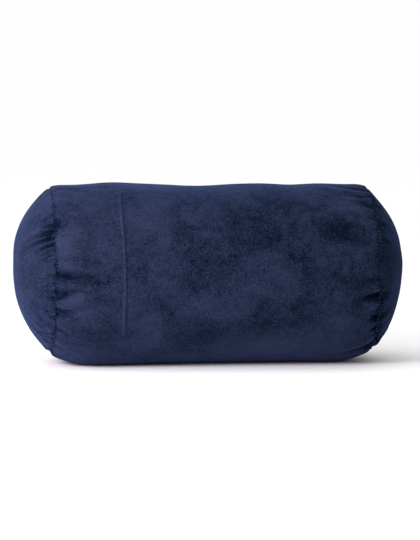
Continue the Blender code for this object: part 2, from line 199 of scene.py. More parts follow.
# Folds at each end seam. Each is (angle in degrees, length, depth, width, slant) in
# millimetres. A negative depth is a ridge. A positive slant leads downwards on the front as
# the fold leaves the seam.
TUBE_FOLDS = {
    LEFT: [
        (106, 40, 1.6, 3.0, 0.0),
        (154, 44, -2.4, 8.0, -0.25),
        (174.5, 58, 3.8, 4.0, 0.10),
        (182.5, 30, -2.0, 3.6, -0.10),
        (190, 34, 4.8, 1.35, -0.38),
        (195, 48, -3.6, 4.6, -0.28),
        (203.5, 36, 3.2, 3.0, -0.45),
        (216, 20, 2.0, 2.5, 0.0),
        (236, 26, 2.2, 3.5, 0.10),
    ],
    RIGHT: [
        (106, 60, 1.6, 3.0, -0.20),
        (113.5, 17, 3.6, 2.0, -0.30),
        (116.5, 64, -2.4, 2.6, -0.34),
        (119.7, 20, 3.6, 2.0, -0.30),
        (123, 44, -2.2, 2.4, -0.11),
        (127, 14, 3.4, 2.2, -0.10),
        (187, 26, -2.2, 3.0, -0.04),
        (192, 26, 6.0, 2.6, -0.04),
        (199, 30, -2.2, 4.0, 0.10),
        (210, 14, 6.5, 2.2, -0.17),
        (219.5, 11, 5.0, 2.0, 0.30),
        (229, 26, -2.4, 3.2, 0.10),
        (237, 40, 6.0, 2.7, -0.05),
        (247, 30, 2.5, 3.0, 0.10),
    ],
}
CAP_FOLDS = {
    LEFT: [
        (129, 18, 2.0, 3.0, 0.0),
        (138, 16, 2.4, 3.2, -0.20),
        (144, 15, 2.4, 2.2, 0.0),
        (146.8, 48, -2.0, 2.2, -0.20),
        (149.4, 60, 3.8, 1.8, -0.14),
        (151.6, 40, -1.8, 1.8, -0.05),
        (153.4, 34, 3.6, 1.35, 0.10),
        (157, 22, 3.8, 1.25, 0.16),
        (160.2, 21, 3.8, 1.2, 0.12),
        (162.9, 14, 3.4, 1.1, 0.10),
        (165.5, 11, 3.0, 1.1, 0.0),
        (168, 9, 3.0, 1.1, 0.0),
        (174.5, 14, 2.4, 2.2, 0.0),
        (191, 13, 4.0, 2.0, 0.0),
        (205, 12, 2.4, 2.0, 0.1),
        (224.7, 36, 3.2, 1.9, 1.0),
        (233.7, 18, 3.0, 1.8, 0.93),
    ],
    RIGHT: [
        (125, 14, 2.4, 2.2, -0.2),
        (136.5, 16, 3.0, 2.2, -0.2),
        (142.5, 18, 3.0, 2.2, -0.06),
        (153.7, 22, 3.0, 2.6, 0.17),
        (193, 22, 3.4, 3.0, 0.30),
        (209, 16, 2.6, 2.2, 0.30),
        (232, 36, 4.0, 3.0, 1.2),
        (243, 26, 2.6, 3.0, 0.60),
    ],
}
# First and last angle, number, length and depth of the short gathers of the right end panel
GATHERS = (146, 172, 9, 11.0, 2.2)
FOLDS_SEED = 11


def hidden_folds(rng):
    """Folds of the same kinds for the parts of both seams that the lists above leave bare."""
    tube, cap = {LEFT: [], RIGHT: []}, {LEFT: [], RIGHT: []}
    for end in (LEFT, RIGHT):
        angle = 245.0
        while angle < 445.0:
            angle += rng.uniform(6, 17)
            length, depth = rng.uniform(14, 44), rng.uniform(1.2, 3.4)
            width, slant = rng.uniform(2.4, 5.4), rng.uniform(-0.35, 0.35)
            tube[end].append((angle % 360, length, depth, width, slant))
            if rng.random() < 0.6:
                beside = (angle + 5) % 360
                cap[end].append((beside, 0.6 * length, 0.6 * depth, 0.7 * width, -slant))
    return tube, cap


def gathers():
    first, last, number, length, depth = GATHERS
    folds = []
    for i in range(number):
        angle = first + (last - first) * i / (number - 1)
        share = 0.75 + 0.25 * math.cos(2.4 * i)
        folds.append((angle, length * share, depth * share, 1.25, 0.45))
    return folds


HIDDEN_TUBE, HIDDEN_CAP = hidden_folds(np.random.default_rng(FOLDS_SEED))
ALL_TUBE_FOLDS = {end: TUBE_FOLDS[end] + HIDDEN_TUBE[end] for end in (LEFT, RIGHT)}
ALL_CAP_FOLDS = {end: CAP_FOLDS[end] + HIDDEN_CAP[end] for end in (LEFT, RIGHT)}
ALL_CAP_FOLDS[RIGHT] += gathers()


def fold_relief(folds, away, angle):
    """Height of one end's folds on the cloth, at a distance away from its seam."""
    height = np.zeros_like(angle)
    for degrees, length, depth, width, slant in folds:
        across = wrap_angle(angle - math.radians(degrees)) * SEAM_R - slant * away
        q = across / (width * MM)
        fade = smooth_step(1 - away / (length * MM), 0.0, 1.0)
        valley = np.exp(-np.abs(q) ** 1.6) - 0.35 * np.exp(-((np.abs(q) - 1.9) ** 2))
        height -= depth * MM * fade * valley
    return height


# Cloth simulation of the sewn cover


def sim_rows():
    """(panel, distance) of each ring of the sewn mesh, from the left end to the right."""
    rings = [PANEL_R * k / SIM_RINGS for k in range(SIM_CORE, SIM_RINGS)]
    tube = [PANEL_HALF * (2 * j / SIM_ALONG - 1) for j in range(SIM_ALONG + 1)]
    rows = [(LEFT, distance) for distance in rings]
    rows += [(0, distance) for distance in tube]
    return rows + [(RIGHT, distance) for distance in reversed(rings)]


def sim_start(panel, distance, angle):
    """A ring of points where the cloth starts, with its folds begun: (x, radius)."""
    if panel == 0:
        end = RIGHT if distance > 0 else LEFT
        x, radius, _ = tube_form(distance, np.zeros_like(angle))
        relief = fold_relief(ALL_TUBE_FOLDS[end], PANEL_HALF - abs(distance), angle)
        return np.full_like(angle, x), radius + relief
    radius = np.interp(distance, *DOME_TABLES[panel])
    relief = fold_relief(ALL_CAP_FOLDS[panel], PANEL_R - distance, angle)
    return panel * (SEAM_X + dome_height(panel, radius) + 0.7 * relief), radius + 0.5 * relief


def sim_flat(panel, distance, angle):
    """The same ring as it was cut, before it was sewn and filled."""
    if panel == 0:
        return np.full_like(angle, distance), np.full_like(angle, PANEL_R)
    return np.full_like(angle, panel * PANEL_HALF), np.full_like(angle, distance)


def ring_points(x, radius, angle):
    return np.stack([x, radius * np.cos(angle), radius * np.sin(angle)], axis=1)


def sewn_mesh(points):
    """Quads between neighbouring rings, closed by a fan of triangles at each end."""
    rows = (len(points) - 2) // SIM_AROUND
    faces = []
    for i in range(SIM_AROUND):
        k = (i + 1) % SIM_AROUND
        for row in range(rows - 1):
            a, b = row * SIM_AROUND, (row + 1) * SIM_AROUND
            faces.append((a + k, a + i, b + i, b + k))
        last = (rows - 1) * SIM_AROUND
        faces.append((i, k, len(points) - 2))
        faces.append((last + k, last + i, len(points) - 1))
    mesh = bpy.data.meshes.new("sewn_cover")
    mesh.from_pydata((points * SIM_SCALE).tolist(), [], faces)
    bm = bmesh.new()
    bm.from_mesh(mesh)
    bmesh.ops.recalc_face_normals(bm, faces=bm.faces)
    bm.to_mesh(mesh)
    bm.free()
    return mesh


def blow_up(obj, rest):
    """Runs the cloth with pressure inside it and returns where its points come to."""
    obj.shape_key_add(name="sewn")
    cut = obj.shape_key_add(name="cut")
    cut.data.foreach_set("co", (rest * SIM_SCALE).astype("f4").ravel())
    cloth = obj.modifiers.new("cloth", "CLOTH")
    settings = cloth.settings
    settings.rest_shape_key = cut
    settings.quality = 5
    settings.tension_stiffness = 40
    settings.compression_stiffness = 2
    settings.shear_stiffness = 3
    settings.bending_stiffness = 0.05
    settings.compression_damping = 2
    settings.shear_damping = 2
    settings.use_pressure = True
    settings.uniform_pressure_force = 12
    settings.effector_weights.gravity = 0
    cloth.collision_settings.use_collision = False
    for step in range(1, SIM_FRAMES + 1):
        bpy.context.scene.frame_set(step)
    graph = bpy.context.evaluated_depsgraph_get()
    result = obj.evaluated_get(graph).data
    points = np.empty(len(result.vertices) * 3, "f4")
    result.vertices.foreach_get("co", points)
    bpy.context.scene.frame_set(1)
    return points.reshape(-1, 3).astype(float) / SIM_SCALE


def blown_cover():
    """How far the cloth's points lie from the smooth form: (x, radius, angle) for each panel."""
    angle = ring_angles(SIM_AROUND)
    rows = sim_rows()
    tips = np.array([[LEFT, 0, 0], [RIGHT, 0, 0]], float)
    start = [ring_points(*sim_start(panel, d, angle), angle) for panel, d in rows]
    depths = np.array([[DOME_DEPTH[LEFT]], [DOME_DEPTH[RIGHT]]])
    start = np.concatenate(start + [tips * (SEAM_X + depths)])
    flat = [ring_points(*sim_flat(panel, d, angle), angle) for panel, d in rows]
    flat = np.concatenate(flat + [tips * PANEL_HALF])
    obj = new_object("sewn_cover", sewn_mesh(start))
    end = blow_up(obj, flat)
    bpy.data.objects.remove(obj)
    grid = end[:-2].reshape(len(rows), SIM_AROUND, 3)
    radius = np.hypot(grid[..., 1], grid[..., 2])
    turn = wrap_angle(np.arctan2(grid[..., 2], grid[..., 1]) - angle)
    offsets = np.stack([grid[..., 0], radius, turn], axis=2)
    offsets -= offsets.mean(axis=1, keepdims=True)
    caps = SIM_RINGS - SIM_CORE
    tube = offsets[caps : caps + SIM_ALONG + 1]
    core = np.linspace(0, 1, SIM_CORE, endpoint=False)[:, None, None]
    left = offsets[: caps + 1]
    right = offsets[caps + SIM_ALONG :][::-1]
    left = np.concatenate([core * left[:1], left])
    right = np.concatenate([core * right[:1], right])
    return {0: tube, LEFT: left, RIGHT: right}


OFFSETS = blown_cover()


# Fine surface of the cover

# Each is (x, angle in degrees, height, spread along, spread round in degrees), otherwise in mm
LUMPS = [
    (-93, 88, 1.9, 24, 24),
    (-13, 88, -1.9, 30, 24),
    (77, 90, -1.5, 18, 20),
    (142, 95, -2.4, 26, 34),
    (-103, 103.5, -1.3, 7, 2.4),
    (0, 270, -2.0, 400, 34),
    (-98, 262, 1.6, 26, 22),
    (10, 262, -0.8, 40, 22),
    (104, 262, 1.0, 24, 22),
    (-60, 160, 0.8, 30, 22),
    (25, 205, -0.9, 34, 20),
    (80, 165, 0.9, 30, 18),
    (-30, 300, 1.0, 30, 20),
    (60, 330, -0.8, 30, 20),
]
SLACK = 0.0006  # how much slimmer than the plain tube the rest of the body is


def lumps(x, angle):
    """How far the cloth stands out or in where the filling under it is fuller or thinner."""
    height = np.zeros_like(angle)
    for along, degrees, rise, spread, turn in LUMPS:
        across = np.degrees(wrap_angle(angle - math.radians(degrees))) / turn
        height += rise * MM * np.exp(-(((x - along * MM) / (spread * MM)) ** 2) - across**2)
    return height - SLACK


ZIP_HOLD_ACROSS = (14 * MM, 40 * MM)  # where the zip's hold on the cloth starts and stops fading
ZIP_HOLD_ALONG = (112 * MM, 132 * MM)
FLOOR_SOFTNESS = 0.0012  # how gently the underside goes flat


def near_zip(x, angle):
    """1 beside the zip, which keeps its cloth to the plain tube, and 0 away from it."""
    across = np.abs(wrap_angle(angle - ZIP_ANGLE)) * BODY_R
    beside = 1 - smooth_step(across, *ZIP_HOLD_ACROSS)
    return beside * (1 - smooth_step(np.abs(x), *ZIP_HOLD_ALONG))


def settle(points):
    """Presses the underside flat where the pillow lies on its own weight."""
    z = points[:, 2]
    points[:, 2] = (z + np.sqrt(z**2 + FLOOR_SOFTNESS**2)) / 2
    return points


def tube_surface(s, angle):
    row = (s / PANEL_HALF + 1) / 2 * SIM_ALONG
    column = angle / (2 * np.pi) * SIM_AROUND
    x, radius, centre = tube_form(s, angle)
    free = (1 - near_zip(x, angle))[:, None]
    dx, dr, turn = (sample(OFFSETS[0], row, column) * free).T
    radius = radius + dr + lumps(x, angle) * free[:, 0]
    round_ = angle + turn
    return np.stack([x + dx, radius * np.cos(round_), centre + radius * np.sin(round_)], 1)


def cap_surface(end):
    def surface(distance, angle):
        row = distance / PANEL_R * SIM_RINGS
        column = angle / (2 * np.pi) * SIM_AROUND
        radius = np.interp(distance, *DOME_TABLES[end])
        height = dome_height(end, radius)
        share = smooth_step(distance, 0.0, PANEL_R)
        seam_lump = lumps(np.full_like(angle, end * SEAM_X), angle) * share
        dx, dr, turn = sample(OFFSETS[end], row, column).T
        centre = SEAM_Z + DOME_LIFT[end] * height / DOME_DEPTH[end]
        radius, round_ = radius + dr + seam_lump, angle + turn
        low = smooth_step(-np.sin(angle), -0.2, 0.9)
        belly = BELLY[end] * low * smooth_step(distance, 0.4 * PANEL_R, 0.85 * PANEL_R)
        belly *= 1 - smooth_step(distance, 0.94 * PANEL_R, PANEL_R)
        radius += 0.7 * belly
        x = end * (SEAM_X + height + 0.7 * belly) + dx
        return np.stack([x, radius * np.cos(round_), centre + radius * np.sin(round_)], 1)

    return surface


def facing(surface, s, angle, outward):
    """Unit normals of a surface, turned to the side that the vectors in outward point to."""
    step = 0.4 * MM
    turn = step / BODY_R
    along = surface(s + step, angle) - surface(s - step, angle)
    across = surface(s, angle + turn) - surface(s, angle - turn)
    normal = unit(np.cross(along, across))
    sign = np.sign(np.sum(normal * outward, axis=1, keepdims=True))
    return normal * np.where(sign == 0, 1, sign)


PULL_ALL = 0.5  # millimetres that an end seam draws the cloth in all round
PULL_STITCH = 1.3  # how much more it does at a stitch
PULL_REACH = 2.0 * MM


def stitch_pull(away, arc):
    """Dimples where the stitches of an end seam pull the cloth in."""
    beat = 0.5 + 0.5 * np.cos(2 * np.pi * arc / STITCH_PITCH)
    uneven = 0.7 + 0.3 * np.sin(arc * 61 + 1.3) * np.sin(arc * 149)
    depth = MM * (PULL_ALL + PULL_STITCH * uneven * beat**2)
    return -depth * np.exp(-np.maximum(away, 0) / PULL_REACH)


def towards_axis(points):
    return unit(-(points - np.array([0, 0, SEAM_Z])) * (0, 1, 1))


def turned_in(point_at, away):
    """A row of cloth near an end seam, where it turns in to run straight towards the axis.

    point_at(away) gives the row that the open cloth would have at a distance from the seam.
    """
    if away >= FOLD_R:
        return point_at(away)
    start, corner = point_at(FOLD_R), point_at(0.0)
    inward = towards_axis(corner)
    t = min((FOLD_R - away) / (2 * FOLD_R), 1.0)
    hem = corner + inward * FOLD_R
    curve = (1 - t) ** 2 * start + 2 * t * (1 - t) * corner + t**2 * hem
    return curve + inward * max(0.0, -FOLD_R - away)


# Meshes made of rows of points


def spaced(segments):
    """[(position, level)] from segments of (start, end, spacing, level)."""
    rows = []
    for start, end, spacing, level in segments:
        count = max(1, round(abs(end - start) / spacing))
        rows += [(start + (end - start) * i / count, level) for i in range(count)]
    return rows + [(segments[-1][1], segments[-1][3])]


def refined(values, level):
    """The values with their midpoints added, level times over."""
    for _ in range(level):
        middles = (values[:-1] + values[1:]) / 2
        values = np.insert(values, range(1, len(values)), middles)
    return values


def strip_faces(a, b):
    """Faces between two rows of vertex numbers. Either may have twice the other's spaces."""
    if len(a) == len(b):
        return list(zip(a[:-1], a[1:], b[1:], b[:-1]))
    if len(a) < len(b):
        low, middle, high = b[:-2:2], b[1::2], b[2::2]
        faces = list(zip(a[:-1], a[1:], middle)) + list(zip(a[:-1], middle, low))
        return faces + list(zip(a[1:], high, middle))
    low, middle, high = a[:-2:2], a[1::2], a[2::2]
    faces = list(zip(low, middle, b[:-1])) + list(zip(middle, high, b[1:]))
    return faces + list(zip(middle, b[1:], b[:-1]))


def rows_mesh(name, rows, closed, tip=None, flip=False):
    """A mesh from rows of points. A tip closes the last row with a fan of triangles."""
    starts = np.cumsum([0] + [len(row) for row in rows])
    numbers = []
    for row, start in zip(rows, starts):
        ring = list(range(start, start + len(row)))
        numbers.append(ring + [start] if closed else ring)
    faces = []
    for a, b in zip(numbers, numbers[1:]):
        faces += strip_faces(a, b)
    points = np.concatenate(rows)
    if tip is not None:
        last = numbers[-1]
        faces += [(i, k, len(points)) for i, k in zip(last[:-1], last[1:])]
        points = np.concatenate([points, [tip]])
    if flip:
        faces = [face[::-1] for face in faces]
    return new_mesh(name, points, faces)


def add_thickness(obj, thickness):
    solidify = obj.modifiers.new("thickness", "SOLIDIFY")
    solidify.thickness = thickness
    solidify.offset = -1.0
    return obj


# Detail on the cover that is finer than the simulation

# Each is (height, width, then points of (x, angle in degrees)), otherwise in millimetres
CREASES = [
    (1.5, 1.25)
    + ((-86.5, 109), (-87.5, 118), (-88, 128), (-88, 140), (-87.5, 156))
    + ((-87, 172), (-86.8, 186), (-87.5, 201), (-87, 214), (-86.5, 223)),
    (1.3, 1.5)
    + ((-150, 105), (-142, 109), (-125, 109), (-110, 109.5), (-102, 113))
    + ((-97, 117), (-93.4, 118), (-91, 114), (-91.5, 109)),
]


def crease_relief(x, angle):
    """Ridges pressed into the cloth by folding, each with a sharp step on one side."""
    height = np.zeros_like(angle)
    around = angle * BODY_R
    for rise, width, *line in CREASES:
        line = np.array(line) * (MM, np.pi / 180 * BODY_R)
        best = np.full_like(angle, 1.0)
        side = np.zeros_like(angle)
        ends = np.zeros_like(angle)
        for i, (a, b) in enumerate(zip(line, line[1:])):
            run = b - a
            t = ((x - a[0]) * run[0] + (around - a[1]) * run[1]) / (run @ run)
            kept = np.clip(t, 0, 1)
            gap_x, gap_y = x - a[0] - kept * run[0], around - a[1] - kept * run[1]
            gap = np.hypot(gap_x, gap_y)
            nearer = gap < best
            best = np.where(nearer, gap, best)
            side = np.where(nearer, np.sign(run[0] * gap_y - run[1] * gap_x), side)
            ends = np.where(nearer, (i + kept) / (len(line) - 1), ends)
        q = best / (width * MM)
        fade = smooth_step(ends, 0.0, 0.15) * smooth_step(1 - ends, 0.0, 0.2)
        ridge = np.exp(-(q**1.5)) - 0.3 * (side < 0) * np.exp(-((q - 1.2) ** 2) / 0.5)
        height += rise * MM * fade * ridge
    return height


def waves(x, angle, seed, count, low, high, slope):
    """Smooth random waves of unit size. low and high bound the wave number round the ring."""
    rng = np.random.default_rng(seed)
    height = np.zeros_like(angle)
    for _ in range(count):
        turns = rng.integers(low, high + 1)
        along = rng.uniform(-slope, slope)
        height += np.sin(turns * angle + along * x + rng.uniform(0, 2 * np.pi))
    return height / math.sqrt(count / 2)


def gathering(away, angle, end):
    """Small ripples that run out from an end seam and fade over a short way."""
    fine = waves(away, angle, 20 + end, 9, 52, 90, 60.0) * np.exp(-away / (5 * MM))
    broad = waves(away, angle, 40 + end, 9, 18, 40, 30.0) * np.exp(-away / (14 * MM))
    lift = smooth_step(away, 0.0, 3 * MM)
    return (0.20 * fine + 0.50 * broad) * MM * lift


FOLD_START = (-1 * MM, 3 * MM)  # distances from the seam over which the folds come in


def tube_relief(s, angle):
    end = np.where(s > 0, RIGHT, LEFT)
    away = np.maximum(PANEL_HALF - np.abs(s), 0)
    x = s * SEAM_X / PANEL_HALF
    height = crease_relief(x, angle)
    height += 0.25 * MM * waves(x, angle, 7, 12, 2, 9, 60.0)
    for side in (LEFT, RIGHT):
        folds = FOLD_GAIN * fold_relief(ALL_TUBE_FOLDS[side], away, angle)
        folds = folds * smooth_step(away, *FOLD_START) + gathering(away, angle, side)
        height += np.where(end == side, folds, 0)
    height *= 1 - near_zip(x, angle)
    return height + stitch_pull(away, angle * SEAM_R)


def cap_relief(end, distance, angle):
    away = np.maximum(PANEL_R - distance, 0)
    inner = smooth_step(distance, 4 * MM, 30 * MM)
    folds = FOLD_GAIN * fold_relief(ALL_CAP_FOLDS[end], away, angle)
    folds = folds * smooth_step(away, *FOLD_START) + gathering(away, angle, 3 * end)
    folds += 0.25 * MM * waves(distance, angle, 9 + end, 8, 1, 6, 60.0)
    return folds * inner + stitch_pull(away, angle * SEAM_R)


# Cover panels

# (start, end, spacing, level) of the rows near an end seam, as distances from it. Each level
# doubles the points along a row.
END_ROWS = [
    (-HEM, -FOLD_R, 2.1 * MM, 2),
    (-FOLD_R, FOLD_R, 0.33 * MM, 2),
    (FOLD_R, 6 * MM, 0.75 * MM, 2),
    (6 * MM, 32 * MM, 1.5 * MM, 1),
    (32 * MM, 42 * MM, 0.75 * MM, 0),
]
CREASE_ROWS = (-96 * MM, -83 * MM)  # x of the finer rows under the crease round the tube
CREASE_ARC = (125 * MM, 149 * MM)  # arc of the finer columns under the crease along the top
CLOSING = 1.5 * MM  # half the length over which the zip's opening closes at each end
UNDER_R = 0.95 * MM  # the zip's folded edges turn right under, round this radius
HALF_TURN = math.pi * BODY_R
PANEL_ARC = HALF_TURN - ZIP_FOLD  # from a folded edge at the zip to the middle of the front


def turned_under(w):
    """(distance from the fold along the tube, depth) of a zip edge's cloth, w along the cloth."""
    turn = np.clip((UNDER_R - w) / UNDER_R, 0, math.pi)
    over = np.where(w > UNDER_R, w, UNDER_R * (1 - np.sin(turn)))
    past = np.maximum(0, UNDER_R * (1 - math.pi) - w)
    return over + past, UNDER_R * (1 - np.cos(turn))


def fold_at(s):
    """Half the gap between the cover's folded edges, which close past the ends of the zip."""
    past = smooth_step(abs(s) * SEAM_X / PANEL_HALF, SLOT_HALF - CLOSING, SLOT_HALF + CLOSING)
    return ZIP_FOLD + (CLOSED_FOLD - ZIP_FOLD) * past


def panel_angle(s, t):
    """(angle, depth) at t across the panel, measured along the cloth from its upper fold."""
    upper = t <= PANEL_ARC
    over, depth = turned_under(np.where(upper, t, 2 * PANEL_ARC - t))
    arc = fold_at(s) + over * (HALF_TURN - fold_at(s)) / PANEL_ARC
    return ZIP_ANGLE + np.where(upper, arc, 2 * HALF_TURN - arc) / BODY_R, depth


def tube_row(s, t):
    angle, depth = panel_angle(s, t)
    along = np.full_like(angle, s)
    points = tube_surface(along, angle)
    outward = points * (0, 1, 1) - (0, 0, BODY_Z)
    normal = facing(tube_surface, along, angle, outward)
    return points + normal * (tube_relief(along, angle) - depth)[:, None]


def half_columns():
    """Distances across the panel from its upper hem to the middle of the front."""
    under = UNDER_R * (1 - math.pi)
    segments = [
        (-HEM - 1 * MM, under, 1.6 * MM, 0),
        (under, UNDER_R, 0.5 * MM, 0),
        (UNDER_R, 4 * MM, 1.0 * MM, 0),
        (4 * MM, CREASE_ARC[0] - ZIP_FOLD, 3.0 * MM, 0),
        (CREASE_ARC[0] - ZIP_FOLD, CREASE_ARC[1] - ZIP_FOLD, 0.85 * MM, 0),
        (CREASE_ARC[1] - ZIP_FOLD, PANEL_ARC, 3.0 * MM, 0),
    ]
    return np.array([position for position, _ in spaced(segments)])


def make_tube_panel():
    upper = half_columns()
    under = (UNDER_R * (1 - math.pi), UNDER_R, 0.5 * MM, 0)
    plain = spaced([under, (4 * MM, PANEL_ARC, 3.0 * MM, 0)])
    lower = np.array([position for position, _ in plain])
    lower = np.concatenate([upper[upper < lower[0]], lower])
    columns = np.concatenate([upper, 2 * PANEL_ARC - lower[-2::-1]])
    ends = [(PANEL_HALF - away, level) for away, level in spaced(END_ROWS)]
    scale = PANEL_HALF / SEAM_X
    middle = [
        (-PANEL_HALF + 42 * MM, CREASE_ROWS[0] * scale, 3.0 * MM, 0),
        (CREASE_ROWS[0] * scale, CREASE_ROWS[1] * scale, 0.6 * MM, 0),
        (CREASE_ROWS[1] * scale, PANEL_HALF - 42 * MM, 3.0 * MM, 0),
    ]
    stations = [(-s, level) for s, level in ends[:-1]] + spaced(middle) + ends[-2::-1]
    rows = []
    for s, level in stations:
        end = RIGHT if s > 0 else LEFT
        t = refined(columns, level)
        row = turned_in(lambda away: tube_row(end * (PANEL_HALF - away), t), PANEL_HALF - abs(s))
        rows.append(settle(row))
    return add_thickness(new_object("cover_tube", rows_mesh("cover_tube", rows, False)), CLOTH)


CAP_AROUND = 216  # points round an end panel at level 0


def make_cap_panel(name, end):
    surface = cap_surface(end)
    outward = np.array([end, 0, 0], float)
    segments = END_ROWS[:2] + [
        (FOLD_R, 10 * MM, 0.75 * MM, 2),
        (10 * MM, 40 * MM, 1.3 * MM, 1),
        (40 * MM, 58 * MM, 2.2 * MM, 0),
        (58 * MM, 74 * MM, 2.2 * MM, -1),
        (74 * MM, PANEL_R - 2.5 * MM, 2.2 * MM, -2),
    ]

    def row_at(away, angle):
        distance = np.full_like(angle, PANEL_R - away)
        points = surface(distance, angle)
        normal = facing(surface, distance, angle, outward)
        return points + normal * cap_relief(end, distance, angle)[:, None]

    rows = []
    for away, level in spaced(segments):
        angle = ring_angles(int(CAP_AROUND * 2.0**level))
        rows.append(turned_in(lambda distance: row_at(distance, angle), away))
    tip = rows[-1].mean(axis=0) + outward * 0.0001
    mesh = rows_mesh(name, rows, True, tip, flip=end == LEFT)
    return add_thickness(new_object(name, mesh), CLOTH)


def place(obj, slot, node, fill=None):
    """Puts a piece on the pillow's body in place of a CAD node. fill is not used."""
    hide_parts(node)
    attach(obj, "pillow")
    return obj


cover_tube = make_tube_panel()
cover_caps = [make_cap_panel("cover_cap_left", LEFT), make_cap_panel("cover_cap_right", RIGHT)]
cover = (cover_tube, *cover_caps)
for panel, node in zip(cover, ("cover_wrap", "cover_end_left", "cover_end_right")):
    place(panel, "cover_fabric", node, fill=0.9)


# Swept threads and wires


def smooth_path(points, per_span):
    """Extra points along a rounded line through the given ones."""
    points = np.asarray(points, float)
    first, last = 2 * points[:1] - points[1:2], 2 * points[-1:] - points[-2:-1]
    ghost = np.concatenate([first, points, last])
    steps = np.arange(per_span) / per_span
    path = []
    for a, b, c, d in zip(ghost, ghost[1:], ghost[2:], ghost[3:]):
        for t in steps:
            bend = (2 * a - 5 * b + 4 * c - d) * t**2 + (3 * b - a - 3 * c + d) * t**3
            path.append(b + ((c - a) * t + bend) / 2)
    return np.array(path + [points[-1]])


def swept(paths, radius, sides):
    """(points, faces) of round wires along each path. Their ends taper to a blunt tip."""
    all_points, all_faces, start = [], [], 0
    turn = ring_angles(sides)
    cosine, sine = np.cos(turn)[None, :, None], np.sin(turn)[None, :, None]
    up = np.array([0.31, 0.43, 0.85])  # along no wire
    for path in paths:
        along = unit(np.gradient(path, axis=0))
        across = unit(np.cross(along, up))
        above = np.cross(across, along)
        size = np.full(len(path), radius)
        size[[0, -1]] *= 0.5
        ring = cosine * across[:, None] + sine * above[:, None]
        points = (path[:, None] + ring * size[:, None, None]).reshape(-1, 3)
        index = start + np.arange(len(points)).reshape(len(path), sides)
        after = np.roll(index, -1, axis=1)
        quads = np.stack([index[:-1], after[:-1], after[1:], index[1:]], axis=-1)
        all_faces += quads.reshape(-1, 4)[:, ::-1].tolist()
        all_faces += [index[0].tolist(), index[-1][::-1].tolist()]
        all_points.append(points)
        start += len(points)
    return np.concatenate(all_points), all_faces


def swept_object(name, paths, radius, sides=6):
    return new_object(name, new_mesh(name, *swept(paths, radius, sides)))


# Zip. u runs down the tube from the zip's centre line, and height outwards from its surface.

ZIP_X = 0.1107  # half the length of the chain
COIL_PITCH = 0.00148
COIL_TURNS = int(2 * ZIP_X / COIL_PITCH)
COIL_U, COIL_REACH = 0.00145, 0.00170  # middle and half width of the flattened loops
COIL_LEVEL, COIL_RISE = -0.00095, 0.00078  # the same for their height
WIRE_R = 0.00034
THREAD_U = (0.0018, 0.0027)  # the chain stitches that hold a coil
THREAD_LOW = -0.0007
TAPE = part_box("zip_tape_upper")[1][0]  # half a tape's length
TAPE_TOP = -0.0023
TAPE_THICKNESS = 0.0006
TAPE_INNER = 0.0006
TAPE_MEETING = 0.00003  # the same past the ends of the chain, where the tapes come together
TAPE_OUTER = 0.0156
TOPSTITCH_U = 0.0083
TOPSTITCH_PITCH = 0.0031
UPPER, LOWER = -1, 1


def at_zip(x, u, height):
    angle = ZIP_ANGLE - np.asarray(u) / BODY_R
    radius = BODY_R + np.asarray(height)
    parts = np.broadcast_arrays(x, radius * np.cos(angle), BODY_Z + radius * np.sin(angle))
    return np.stack(parts, axis=-1)


def coil_path(side):
    """One continuous loop of monofilament, flattened, with a wider head where it interlocks."""
    per_turn = 14
    phase = np.arange(COIL_TURNS * per_turn + 1) / per_turn
    angle = 2 * np.pi * phase
    x = -ZIP_X + COIL_PITCH * (phase + (0.5 if side == UPPER else 0.0))
    x = x + 0.10 * COIL_PITCH * np.sin(angle)
    u = COIL_U - COIL_REACH * np.cos(angle)
    height = COIL_LEVEL - COIL_RISE * np.sin(angle)
    return at_zip(np.minimum(x, ZIP_X), side * u, height)


def coil_threads(side):
    """The two rows of chain stitch that hold the coil to its tape."""
    rows = []
    for u in THREAD_U:
        for i in range(COIL_TURNS):
            x = -ZIP_X + COIL_PITCH * (i + 0.25)
            over = [x, x + 0.25 * COIL_PITCH, x + 0.75 * COIL_PITCH, x + COIL_PITCH]
            heights = [THREAD_LOW, 0.0, 0.0, THREAD_LOW]
            us = [side * (u + 0.0001 * (j % 2)) for j in range(4)]
            rows.append(np.array([at_zip(*point) for point in zip(over, us, heights)]))
    return rows


def make_coil(name, side):
    wire_points, wire_faces = swept([coil_path(side)], WIRE_R, 6)
    thread_points, thread_faces = swept(coil_threads(side), 0.00013, 5)
    thread_faces = [[i + len(wire_points) for i in face] for face in thread_faces]
    points = np.concatenate([wire_points, thread_points])
    return new_object(name, new_mesh(name, points, wire_faces + thread_faces))


def make_tape(name, side):
    """A woven band with fine ribs along it and a thicker woven edge beside the coil."""
    count_x, count_u = 236, 16
    xs = np.linspace(-TAPE, TAPE, count_x + 1)
    across = np.linspace(0, 1, count_u + 1)
    rib = 0.00006 * np.cos(np.pi * np.arange(count_u + 1))
    wave = 0.00012 * np.sin(xs * 95.0 + side)
    bm = bmesh.new()
    grid = []
    share = np.clip(3 * across - 1, 0, 1)
    for x, lift in zip(xs, wave):
        past = smooth_step(abs(x), ZIP_X, ZIP_X + 1.5 * MM)
        inner = TAPE_INNER + (TAPE_MEETING - TAPE_INNER) * past
        us = inner + (TAPE_OUTER - inner) * across
        points = at_zip(x, side * us, TAPE_TOP + rib + lift * share)
        grid.append([bm.verts.new(point) for point in points])
    for first, second in zip(grid, grid[1:]):
        for a, b, c, d in zip(first, first[1:], second[1:], second):
            bm.faces.new((a, b, c, d) if side == UPPER else (d, c, b, a))
    mesh = bpy.data.meshes.new(name)
    bm.to_mesh(mesh)
    bm.free()
    mesh.shade_smooth()
    return add_thickness(new_object(name, mesh), TAPE_THICKNESS)


